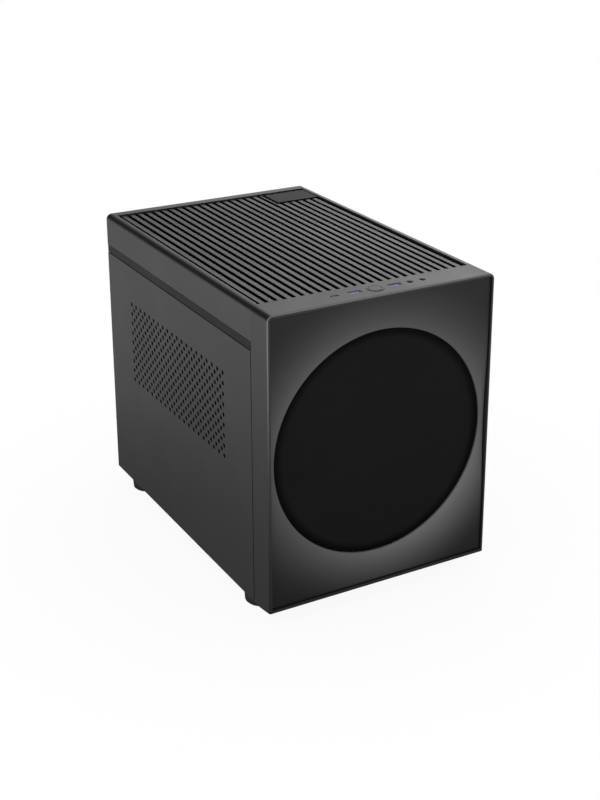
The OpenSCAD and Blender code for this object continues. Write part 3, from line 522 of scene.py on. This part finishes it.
def woven_backing(name, tone):
    """Cloth behind the intake wires: crossed threads in relief."""
    material, tree = own_material(name)
    if not tree:
        return material
    place = object_place(tree)
    thread = {"Vector": place, "Scale": THREAD_SCALE, "Distortion": 0.2}
    warp, weft = (
        node(tree, "ShaderNodeTexWave", thread, wave_type="BANDS", bands_direction=axis)
        for axis in ("X", "Z")
    )
    cross = maths(tree, "MAXIMUM", warp.outputs["Fac"], weft.outputs["Fac"])
    lift = maths(tree, "MULTIPLY", cross, noise(tree, place, 9.0, 3.0))
    bump = node(tree, "ShaderNodeBump", {
        "Strength": 0.5, "Distance": THREAD_HEIGHT, "Height": cross,
    })
    colour = blend(tree, lift, opaque(tone, 0.5), opaque(tone, 1.5))
    roughness = ramp(tree, cross, 0.0, 1.0, 0.85, 0.65)
    set_surface(tree, colour, roughness, bump.outputs["Normal"], gloss=0.1)
    return material


def colour_source(material, below_scuff_and_glint=False):
    """The socket that takes the material's colour, or what its worn and painted-highlight edges lie
    on, and what feeds it.
    """
    target = material.node_tree.nodes["Principled BSDF"].inputs["Base Color"]
    mixer = target.links[0].from_node
    if below_scuff_and_glint and mixer.label == SCUFF_AND_GLINT:
        target = mixer.inputs[6]
    return target, target.links[0].from_socket


def ring_tone(material, tone, disc, radius, width, power=1.0, lean=0.0, outside=False):
    """Another tone inside a circle around a disc's middle, or outside it: painted sheen around the
    intake, painted shade at the mesh's rim.
    """
    tree = material.node_tree
    low, high = disc
    fade = grouped(tree, "Ring Fade", ring_group, {
        "Centre": (low + high) / 2, "Radius": radius, "Width": width, "Power": power,
        "Lean": lean,
    })["Fade"]
    target, own = colour_source(material, below_scuff_and_glint=True)
    sides = (opaque(tone), own) if outside else (own, opaque(tone))
    tree.links.new(blend(tree, fade, *sides), target)


def paint_slot_shade(material, low, high):
    """Darkens what lies inside a box with painted shade, such as the walls of slots, which shadow
    keeps black.
    """
    tree = material.node_tree
    target, own = colour_source(material)
    centred = vectors(tree, "SUBTRACT", object_place(tree), (low + high) / 2)
    room = vectors(tree, "SUBTRACT", (high - low) / 2, vectors(tree, "ABSOLUTE", centred))
    parts = parts_of(tree, room)
    least = maths(tree, "MINIMUM", parts["X"], parts["Y"])
    least = maths(tree, "MINIMUM", least, parts["Z"])
    inside = ramp(tree, least, 0.0, 0.0004)
    tree.links.new(blend(tree, inside, own, opaque(PAINTED_SLOT_SHADE)), target)


def paint_edge_light_and_shade(material, axis, tone, foot_shade=None):
    """Another tone where a rounded edge turns away from an axis, painting a band of shade or a
    highlight there, with its own tone at the foot.
    """
    tree = material.node_tree
    target, own = colour_source(material)
    facing = parts_of(tree, node(tree, "ShaderNodeNewGeometry").outputs["Normal"])[axis]
    square = maths(tree, "MULTIPLY", facing, facing)
    turn = maths(tree, "MULTIPLY", square, maths(tree, "SUBTRACT", 1.0, square))
    line = ramp(tree, turn, 0.12, 0.2)
    colour = opaque(tone)
    if foot_shade:
        rise = ramp(tree, parts_of(tree, object_place(tree))["Z"], *HIGHLIGHT_FADE, smooth=True)
        colour = blend(tree, rise, opaque(foot_shade), colour)
    tree.links.new(blend(tree, line, own, colour), target)


def wear_on(names, material):
    for name in names:
        slots = nodes[name].data.materials
        slots.clear()
        slots.append(material)


# Shapes grown by node trees


def instances(group, points, shape, **more):
    made = node(
        group, "GeometryNodeInstanceOnPoints", {"Points": points, "Instance": shape, **more}
    )
    return made.outputs["Instances"]


def made_real(group, geometry):
    return node(group, "GeometryNodeRealizeInstances", {"Geometry": geometry}).outputs[0]


def centred_steps(group, count, pitch):
    """For each point of a row, its distance from the row's middle."""
    index = node(group, "GeometryNodeInputIndex").outputs[0]
    middle = maths(group, "MULTIPLY", maths(group, "SUBTRACT", count, 1.0), 0.5)
    return maths(group, "MULTIPLY", maths(group, "SUBTRACT", index, middle), pitch)


def placed_points(group, count, **parts):
    """Points whose coordinates are given by axis."""
    spot = node(group, "ShaderNodeCombineXYZ", parts).outputs[0]
    line = node(group, "GeometryNodeMeshLine", {"Count": count}).outputs["Mesh"]
    made = node(group, "GeometryNodeSetPosition", {"Geometry": line, "Position": spot})
    return made.outputs["Geometry"]


def put_out(group, given, result, geometry):
    """The group's result, with its instances made real and its material set."""
    real = made_real(group, geometry)
    dressed = node(
        group, "GeometryNodeSetMaterial", {"Geometry": real, "Material": given["Finish"]}
    )
    group.links.new(dressed.outputs[0], result.inputs["Geometry"])
    return group


def growing_group(name, inputs):
    """A geometry group whose last input is a material."""
    return new_group(
        name, inputs + [("Finish", "Material", None)], [("Geometry", "Geometry", None)],
        "GeometryNodeTree",
    )


def weave_group():
    """Crossed straight wires in the XZ plane, cut to a circle."""
    group, given, result = growing_group("Crossed Wires", [
        ("Radius", "Float", 0.1), ("Pitch", "Float", 0.002), ("Wire", "Float", 0.0008),
        ("Centre", "Vector", None),
    ])
    span = maths(group, "MULTIPLY", given["Radius"], 2.0)
    count = maths(group, "FLOOR", maths(group, "DIVIDE", span, given["Pitch"]))
    reach = maths(group, "MULTIPLY", given["Radius"], given["Radius"])
    joined = node(group, "GeometryNodeJoinGeometry")
    for across, along, sink in (("X", "Z", 0.0), ("Z", "X", -0.8)):
        place = centred_steps(group, count, given["Pitch"])
        drop = maths(group, "MULTIPLY", given["Wire"], sink)
        points = placed_points(group, count, **{across: place, "Y": drop})
        square = maths(group, "MULTIPLY", place, place)
        chord = maths(group, "SQRT", maths(group, "SUBTRACT", reach, square))
        length = maths(group, "MULTIPLY", chord, 2.0)
        size = node(group, "ShaderNodeCombineXYZ", {
            across: given["Wire"], "Y": given["Wire"], along: length,
        })
        bar = node(group, "GeometryNodeMeshCube", {"Size": (1.0, 1.0, 1.0)}).outputs["Mesh"]
        wires = instances(group, points, bar, Scale=size.outputs[0])
        group.links.new(wires, joined.inputs["Geometry"])
    moved = node(group, "GeometryNodeTransform", {
        "Geometry": joined.outputs[0], "Translation": given["Centre"],
    })
    return put_out(group, given, result, moved.outputs[0])


def knurl_group():
    """Rounded ridges around a head whose axis runs along Y, repeated at each point."""
    group, given, result = growing_group("Knurled Head", [
        ("Points", "Geometry", None), ("Ridges", "Int", 30), ("Radius", "Float", 0.0045),
        ("Length", "Float", 0.004), ("Depth", "Float", 0.0003),
    ])
    index = node(group, "GeometryNodeInputIndex").outputs[0]
    turn = maths(group, "DIVIDE", 2 * math.pi, given["Ridges"])
    angle = maths(group, "MULTIPLY", index, turn)
    x, z = (
        maths(group, "MULTIPLY", maths(group, operation, angle), given["Radius"])
        for operation in ("COSINE", "SINE")
    )
    points = placed_points(group, given["Ridges"], X=x, Z=z)
    back = maths(group, "MULTIPLY", angle, -1.0)
    facing = node(group, "ShaderNodeCombineXYZ", {"Y": back}).outputs[0]
    ridge = node(group, "GeometryNodeMeshCylinder", {
        "Vertices": 6, "Radius": given["Depth"], "Depth": given["Length"],
    }, fill_type="NGON")
    laid = node(group, "GeometryNodeTransform", {
        "Geometry": ridge.outputs["Mesh"], "Rotation": (math.pi / 2, 0, 0),
    })
    ring = instances(group, points, laid.outputs[0], Rotation=facing)
    heads = instances(group, given["Points"], made_real(group, ring))
    return put_out(group, given, result, heads)


def contact_group():
    """A row of flat contacts along X, repeated at each point."""
    group, given, result = growing_group("Contact Row", [
        ("Points", "Geometry", None), ("Count", "Int", 4), ("Pitch", "Float", 0.0024),
        ("Size", "Vector", None),
    ])
    step = centred_steps(group, given["Count"], given["Pitch"])
    points = placed_points(group, given["Count"], X=step)
    strip = node(group, "GeometryNodeMeshCube", {"Size": given["Size"]}).outputs["Mesh"]
    row = instances(group, points, strip)
    rows = instances(group, given["Points"], made_real(group, row))
    return put_out(group, given, result, rows)


def grown(name, maker, values, points=()):
    """An object grown by a node tree and turned into a plain mesh."""
    group = maker()
    mesh = bpy.data.meshes.new(name)
    mesh.from_pydata([tuple(point) for point in points], [], [])
    piece = bpy.data.objects.new(name, mesh)
    bpy.context.scene.collection.objects.link(piece)
    modifier = piece.modifiers.new(name, "NODES")
    modifier.node_group = group
    for item in group.interface.items_tree:
        if item.item_type == "SOCKET" and item.in_out == "INPUT" and item.name in values:
            modifier[item.identifier] = values[item.name]
    bpy.context.view_layer.update()
    evaluated = piece.evaluated_get(bpy.context.evaluated_depsgraph_get())
    plain = bpy.data.meshes.new_from_object(evaluated)
    piece.modifiers.remove(modifier)
    piece.data = plain
    return piece


def thumbscrew_heads():
    """The middle of each of the four heads, and a head's radius."""
    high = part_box("thumbscrews")[1]
    rear_face = high.y - 1e-5
    tips = [v.co for v in nodes["thumbscrews"].data.vertices if v.co.y > rear_face]
    heads = []
    for sign in (-1, 1):
        side = [point for point in tips if point.x * sign > 0]
        middle = sum(point.z for point in side) / len(side)
        for upper in (True, False):
            head = [point for point in side if (point.z > middle) == upper]
            xs = [point.x for point in head]
            zs = [point.z for point in head]
            radius = (max(xs) - min(xs)) / 2
            heads.append((
                (min(xs) + max(xs)) / 2, high.y - RIDGE_MIDDLE, (min(zs) + max(zs)) / 2,
            ))
    return heads, radius


# Operators


class CASE_OT_coat_steel(bpy.types.Operator):
    """Powder coat on the panels, rails and chassis"""

    bl_idname = "case.coat_steel"
    bl_label = "Coat the steel"

    def execute(self, context):
        look = context.scene.case_coat
        tone = look.steel_tone
        coat = {"grain": look.grain_size, "relief": 0.35, "edge": look.edge_radius}
        wear_on(PANELS, coated(
            "panel_black", tone, rough=0.40, drift=0.03, scuff_and_glint=0.25, gloss=0.38, **coat))
        wear_on(RAILS, coated(
            "rail_black", scaled(tone, 0.4), rough=0.42, drift=0.03, scuff_and_glint=0.25, gloss=0.12, **coat))
        wear_on(CHASSIS, coated(
            "frame_black", scaled(tone, 0.8), rough=0.46, drift=0.04, scuff_and_glint=0.3, **coat))
        return {"FINISHED"}


class CASE_OT_finish_cover(bpy.types.Operator):
    """Satin finish of the slatted cover and its bare plate"""

    bl_idname = "case.finish_cover"
    bl_label = "Finish the top cover"

    def execute(self, context):
        look = context.scene.case_coat
        tone = look.cover_tone
        cover = coated("cover_black", tone, rough=0.40, grain=look.grain_size, relief=0.3,
                       drift=0.03, edge=look.edge_radius, scuff_and_glint=0.3, gloss=0.38)
        # painted shade: the walls of the cover's slots are painted near-black
        low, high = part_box("top_cover")
        paint_slot_shade(cover, low + SLOT_SHADE_INSET_LOW, high - SLOT_SHADE_INSET_HIGH)
        # painted shade: a darker band where the cover's long edges round over
        paint_edge_light_and_shade(cover, "X", scaled(tone, 0.15))
        wear_on(["top_cover"], cover)
        wear_on(["badge_plate"], coated(
            "badge_grey", scaled(tone, 0.4), rough=0.36, grain=0.0004, relief=0.15,
            drift=0.02, edge=0.0003, scuff_and_glint=0.3, gloss=0.03))
        return {"FINISHED"}


class CASE_OT_finish_front(bpy.types.Operator):
    """Moulded skin of the bezel, the front plate and the power button"""

    bl_idname = "case.finish_front"
    bl_label = "Finish the front"

    def execute(self, context):
        look = context.scene.case_coat
        tone = look.bezel_tone
        bezel = coated("bezel_black", tone, rough=0.40, grain=look.grain_size * 0.8,
                       relief=0.22, drift=0.03, edge=look.edge_radius, scuff_and_glint=0.3, gloss=0.36)
        # painted shade: a darker band where the bezel's long edges round over
        paint_edge_light_and_shade(bezel, "X", scaled(tone, 0.2))
        # painted highlight: a pale line along the front's rounded edge, fading to painted shade
        # toward the foot
        paint_edge_light_and_shade(bezel, "Y", scaled(tone, 8), foot_shade=scaled(tone, 0.3))
        wear_on(["front_bezel"], bezel)
        plate = coated("plate_black", look.plate_tone, rough=0.38, grain=look.grain_size * 0.6,
                       relief=0.12, drift=0.03, edge=look.edge_radius, scuff_and_glint=0.3, gloss=0.15)
        low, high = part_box("mesh_disc")
        # painted sheen: a pale ring around the intake, strongest toward the lower right
        ring_tone(plate, look.painted_sheen_tone, (low, high), (high.x - low.x) / 2, look.painted_sheen_width,
                  power=2.0, lean=SHEEN_LEAN)
        wear_on(["front_plate"], plate)
        wear_on(["power_button"], coated(
            "button_black", tone, rough=0.40, grain=0.0005, relief=0.15, drift=0.03,
            edge=0.0003, scuff_and_glint=0.3, gloss=0.36))
        return {"FINISHED"}


class CASE_OT_weave_meshes(bpy.types.Operator):
    """Crossed wires of the round intake, the cloth behind them, and the plain filters"""

    bl_idname = "case.weave_meshes"
    bl_label = "Weave the meshes"

    def execute(self, context):
        look = context.scene.case_mesh
        tone = look.mesh_tone
        backing = woven_backing("mesh_backing", scaled(tone, 0.5))
        wires = coated("mesh_black", tone, rough=0.6, grain=0.0006, relief=0.2,
                       edge=0.0001, scuff_and_glint=0.0, gloss=0.12)
        wear_on(["mesh_disc"], backing)
        # painted shade: the filters' near-black, almost glossless tone stands in for the shade
        # behind the slots and perforations
        wear_on(FILTERS, coated(
            "filter_black", scaled(tone, 0.1), rough=0.9, relief=0.2, scuff_and_glint=0.0, gloss=0.02))
        low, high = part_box("mesh_disc")
        # painted shade: the wires and cloth darken toward the recessed rim
        for material in (wires, backing):
            ring_tone(material, RIM_SHADE_BLACK, (low, high), look.rim_shade, RIM_SHADE_WIDTH,
                      outside=True)
        wire = look.intake_pitch * look.wire_share
        centre = Vector(((low.x + high.x) / 2, low.y - wire * 0.5, (low.z + high.z) / 2))
        intake = grown("intake_mesh", weave_group, {
            "Radius": (high.x - low.x) / 2 - MESH_MARGIN, "Pitch": look.intake_pitch,
            "Wire": wire, "Centre": centre, "Finish": wires,
        })
        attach(intake, "case")
        return {"FINISHED"}


class CASE_OT_finish_fans(bpy.types.Operator):
    """Moulded skin of the fans and the clamping ring"""

    bl_idname = "case.finish_fans"
    bl_label = "Finish the fans"

    def execute(self, context):
        wear_on(INNER_MOULDINGS, coated(
            "inner_black", context.scene.case_coat.inner_tone, rough=0.45, grain=0.0006,
            relief=0.15, drift=0.05, scuff_and_glint=0.3))
        return {"FINISHED"}


class CASE_OT_fit_sockets(bpy.types.Operator):
    """Sockets of the strip with their contacts, the board under them and the button's switch"""

    bl_idname = "case.fit_sockets"
    bl_label = "Fit the sockets"

    def execute(self, context):
        inner = context.scene.case_coat.inner_tone
        wear_on(TYPE_A_SOCKETS + ("usb_c_port",), brushed(
            "socket_steel", DRAWN_STEEL, rough=0.28, along=(1, 1, 8)))
        wear_on(["usb_tongues"], coated(
            "tongue_blue", TONGUE_BLUE, rough=0.4, grain=0.0005, relief=0.1, scuff_and_glint=0.2))
        wear_on(STRIP_MOULDINGS, coated(
            "jack_black", scaled(inner, 0.8), rough=0.4, relief=0.12, scuff_and_glint=0.5))
        wear_on(["io_board"], coated(
            "board_green", BOARD_GREEN, rough=0.35, grain=0.001, relief=0.2, scuff_and_glint=0.1))
        low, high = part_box("usb_tongues")
        middles = []
        for name in TYPE_A_SOCKETS:
            left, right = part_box(name)
            middles.append((
                (left.x + right.x) / 2, low.y - CONTACT_LIFT, high.z - CONTACT_DEPTH,
            ))
        rows = grown("socket_contacts", contact_group, {
            "Count": context.scene.case_knurl.contacts, "Pitch": CONTACT_PITCH,
            "Size": CONTACT_SIZE, "Finish": brushed("contact_gold", GOLD, rough=0.25),
        }, middles)
        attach(rows, "case")
        return {"FINISHED"}


class CASE_OT_finish_hardware(bpy.types.Operator):
    """Screws with knurled heads, standoffs and rubber feet"""

    bl_idname = "case.finish_hardware"
    bl_label = "Finish the hardware"

    def execute(self, context):
        look = context.scene.case_knurl
        zinc = brushed("screw_steel", ZINC, rough=0.32, along=(1, 8, 1))
        wear_on(ZINC_SCREWS, zinc)
        wear_on(BLACK_SCREWS, coated(
            "screw_black", SCREW_BLACK, rough=0.35, metal=0.6, scuff_and_glint=0.8))
        wear_on(["board_standoffs"], brushed(
            "brass_plain", BRASS, rough=0.25, along=(1, 1, 6)))
        wear_on(FEET, coated(
            "foot_rubber", RUBBER_BLACK, rough=0.62, grain=0.0009, relief=0.35, scuff_and_glint=0.1))
        heads, radius = thumbscrew_heads()
        knurls = grown("thumbscrew_knurling", knurl_group, {
            "Ridges": look.ridges, "Radius": radius, "Length": RIDGE_LENGTH,
            "Depth": look.ridge_depth, "Finish": zinc,
        }, heads)
        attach(knurls, "case")
        return {"FINISHED"}


# Studio


def area_lamp(name, place, target, width, height, power):
    light = bpy.data.lights.new(name, "AREA")
    light.shape = "RECTANGLE"
    light.size = width
    light.size_y = height
    light.energy = power
    lamp = bpy.data.objects.new(name, light)
    lamp.location = place
    lamp.rotation_euler = (Vector(target) - Vector(place)).to_track_quat("-Z", "Y").to_euler()
    lamp.visible_camera = False
    bpy.context.scene.collection.objects.link(lamp)


def pale_room(fill, sheen):
    """A world that is white to the eye, soft on the object and bright in places in reflections."""
    world = bpy.data.worlds.new("pale_room")
    world.use_nodes = True
    tree = world.node_tree
    seen, rays = sight_rays(tree)
    outward = node(tree, "ShaderNodeTexCoord").outputs["Generated"]
    window = ROOM_BASE
    for direction, narrowness, share in ROOM_LOBES:
        side = vectors(tree, "DOT_PRODUCT", outward, direction)
        steep = maths(tree, "POWER", maths(tree, "MAXIMUM", side, 0.0), narrowness)
        window = maths(tree, "MULTIPLY_ADD", steep, share * sheen, window)
    mirrored = choose(tree, rays["Is Glossy Ray"], fill, window)
    sky = tree.nodes["Background"].inputs
    sky["Color"].default_value = (1, 1, 1, 1)
    tree.links.new(choose(tree, seen, mirrored, 1.0), sky["Strength"])
    bpy.context.scene.world = world


def floor_material():
    """Paper that is white to the eye with a faint shadow, and dark under the case's middle.

    Reflections see it with painted shadow near the case and pale far away, and a painted glow at
    the front left in place of a lamp.
    """
    material = bpy.data.materials.new("floor_paper")
    material.use_nodes = True
    tree = material.node_tree
    paper = tree.nodes["Principled BSDF"]
    paper.inputs["Base Color"].default_value = opaque(PAPER_WHITE)
    paper.inputs["Roughness"].default_value = 0.7
    seen, rays = sight_rays(tree)
    glossy = rays["Is Glossy Ray"]
    place = object_place(tree)
    far = vectors(tree, "LENGTH", place)

    fade = ramp(tree, far, *WHITE_RAMP, smooth=True)
    footprint = cad_box[1] - FOOTPRINT_INSET
    spread = vectors(tree, "ABSOLUTE", place)
    sides = parts_of(tree, vectors(tree, "SUBTRACT", spread, (footprint.x, footprint.y, 0)))
    past = maths(tree, "MAXIMUM", sides["X"], sides["Y"])
    outside = ramp(tree, past, 0.0, FOOTPRINT_FADE)
    direct = maths(tree, "MULTIPLY", fade, maths(tree, "MULTIPLY", seen, outside))

    # reflections only: painted shadow near the case and a painted glow at the front left
    level = ramp(tree, far, *REFLECTED_SHADE_RAMP, smooth=True)
    front_left = vectors(tree, "DOT_PRODUCT", place, GLOW_PATCH_SIDE)
    glow_patch = ramp(tree, front_left, *GLOW_PATCH_RAMP, smooth=True)
    glow = node(tree, "ShaderNodeEmission", {
        "Strength": choose(tree, glossy, 1.0, maths(tree, "ADD", level, glow_patch)),
    })
    mix = node(tree, "ShaderNodeMixShader", {
        0: maths(tree, "MAXIMUM", direct, glossy), 1: paper.outputs[0], 2: glow.outputs[0],
    })
    tree.links.new(mix.outputs[0], tree.nodes["Material Output"].inputs["Surface"])
    return material


def lay_floor():
    mesh = bpy.data.meshes.new("floor")
    corners = [
        (x * FLOOR_REACH, y * FLOOR_REACH, 0) for x, y in ((-1, -1), (1, -1), (1, 1), (-1, 1))
    ]
    mesh.from_pydata(corners, [], [(0, 1, 2, 3)])
    mesh.materials.append(floor_material())
    floor = bpy.data.objects.new("floor", mesh)
    bpy.context.scene.collection.objects.link(floor)


def set_camera(look):
    back = Vector(look.camera_back).normalized()
    right = Vector(look.camera_right).normalized()
    turn = Matrix((right, back.cross(right), back)).transposed().to_4x4()
    lens = bpy.data.cameras.new("photo_camera")
    lens.lens = look.lens
    lens.sensor_width = 36
    lens.shift_y = look.shift
    camera = bpy.data.objects.new("photo_camera", lens)
    camera.matrix_world = Matrix.Translation(look.camera_place) @ turn
    bpy.context.scene.collection.objects.link(camera)
    bpy.context.scene.camera = camera


class CASE_OT_set_studio(bpy.types.Operator):
    """Floor, lamps, pale room and camera"""

    bl_idname = "case.set_studio"
    bl_label = "Set the studio"

    def execute(self, context):
        look = context.scene.case_studio
        lay_floor()
        pale_room(look.fill, look.sheen)
        for name, place, target, width, height in LAMPS:
            area_lamp(name, place, target, width, height, getattr(look, name))
        set_camera(look)
        context.scene.view_settings.view_transform = "Standard"
        return {"FINISHED"}


# Sidebar and registration


SETTINGS = (
    ("case_coat", CoatSettings),
    ("case_mesh", MeshSettings),
    ("case_knurl", KnurlSettings),
    ("case_studio", StudioSettings),
)
OPERATORS = (
    CASE_OT_coat_steel,
    CASE_OT_finish_cover,
    CASE_OT_finish_front,
    CASE_OT_weave_meshes,
    CASE_OT_finish_fans,
    CASE_OT_fit_sockets,
    CASE_OT_finish_hardware,
    CASE_OT_set_studio,
)


class CASE_PT_sidebar(bpy.types.Panel):
    """Sizes, colours and steps of the case"""

    bl_label = "Compact computer case"
    bl_space_type = "VIEW_3D"
    bl_region_type = "UI"
    bl_category = "Case"

    def draw(self, context):
        column = self.layout.column()
        for name, _ in SETTINGS:
            group = getattr(context.scene, name)
            box = column.box()
            for key in group.bl_rna.properties.keys():
                if key not in {"rna_type", "name"}:
                    box.prop(group, key)
        for operator in OPERATORS:
            column.operator(operator.bl_idname)


def register():
    for name, group in SETTINGS:
        bpy.utils.register_class(group)
        setattr(bpy.types.Scene, name, PointerProperty(type=group))
    for operator in OPERATORS:
        bpy.utils.register_class(operator)
    bpy.utils.register_class(CASE_PT_sidebar)


def unregister():
    bpy.utils.unregister_class(CASE_PT_sidebar)
    for operator in reversed(OPERATORS):
        bpy.utils.unregister_class(operator)
    for name, group in reversed(SETTINGS):
        delattr(bpy.types.Scene, name)
        bpy.utils.unregister_class(group)


def main():
    register()
    for step in (
        bpy.ops.case.coat_steel,
        bpy.ops.case.finish_cover,
        bpy.ops.case.finish_front,
        bpy.ops.case.weave_meshes,
        bpy.ops.case.finish_fans,
        bpy.ops.case.fit_sockets,
        bpy.ops.case.finish_hardware,
        bpy.ops.case.set_studio,
    ):
        step()


if __name__ == "__main__":
    main()
